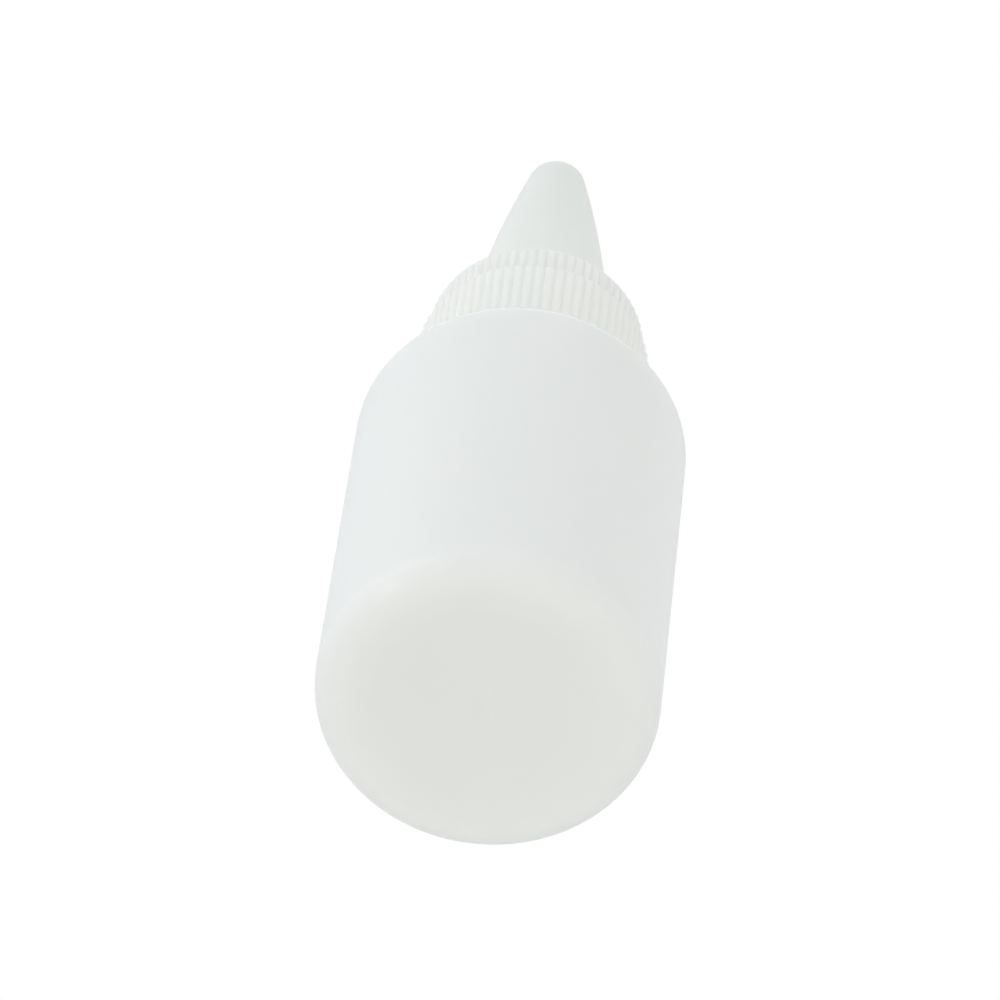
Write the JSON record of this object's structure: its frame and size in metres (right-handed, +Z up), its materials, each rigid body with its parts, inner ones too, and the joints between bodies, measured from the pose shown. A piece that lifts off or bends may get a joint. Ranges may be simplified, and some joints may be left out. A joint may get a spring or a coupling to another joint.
{
  "type": "dropper bottle",
  "caption": "Round squeezable dropper bottle in milky natural plastic, with a press-in nozzle, a ribbed screw-on overcap with a long spire, and a tamper band.",
  "frame": {"origin": "centre of the base, on the surface that the bottle stands on", "axes": "+Z up along the bottle's axis, from the base to the tip of the overcap"},
  "size_m": [0.033, 0.033, 0.1047],
  "materials": {
    "bottle_plastic": "natural milky low-density polyethylene, satin, light passes through it",
    "insert_plastic": "natural low-density polyethylene, satin",
    "cap_plastic": "natural moulded polyolefin, satin, light passes through it"
  },
  "bodies": {
    "bottle": {"bottle": "bottle_plastic", "dropper_insert": "insert_plastic"},
    "tamper_band": {"tamper_band": "cap_plastic"},
    "cap": {"cap": "cap_plastic"}
  },
  "joints": [
    {"name": "unscrew", "type": "hinge", "parent": "bottle", "child": "tamper_band", "pos_m": [0, 0, 0.0538], "axis": [0, 0, 1], "range_deg": [0, 5760]},
    {"name": "cap_lift", "type": "slide", "parent": "tamper_band", "child": "cap", "axis": [0, 0, 1], "range_m": [0, 0.0481]}
  ],
  "couplings": [
    {"joint": "cap_lift", "follows": "unscrew", "m_per_rad": 0.00047746}
  ]
}
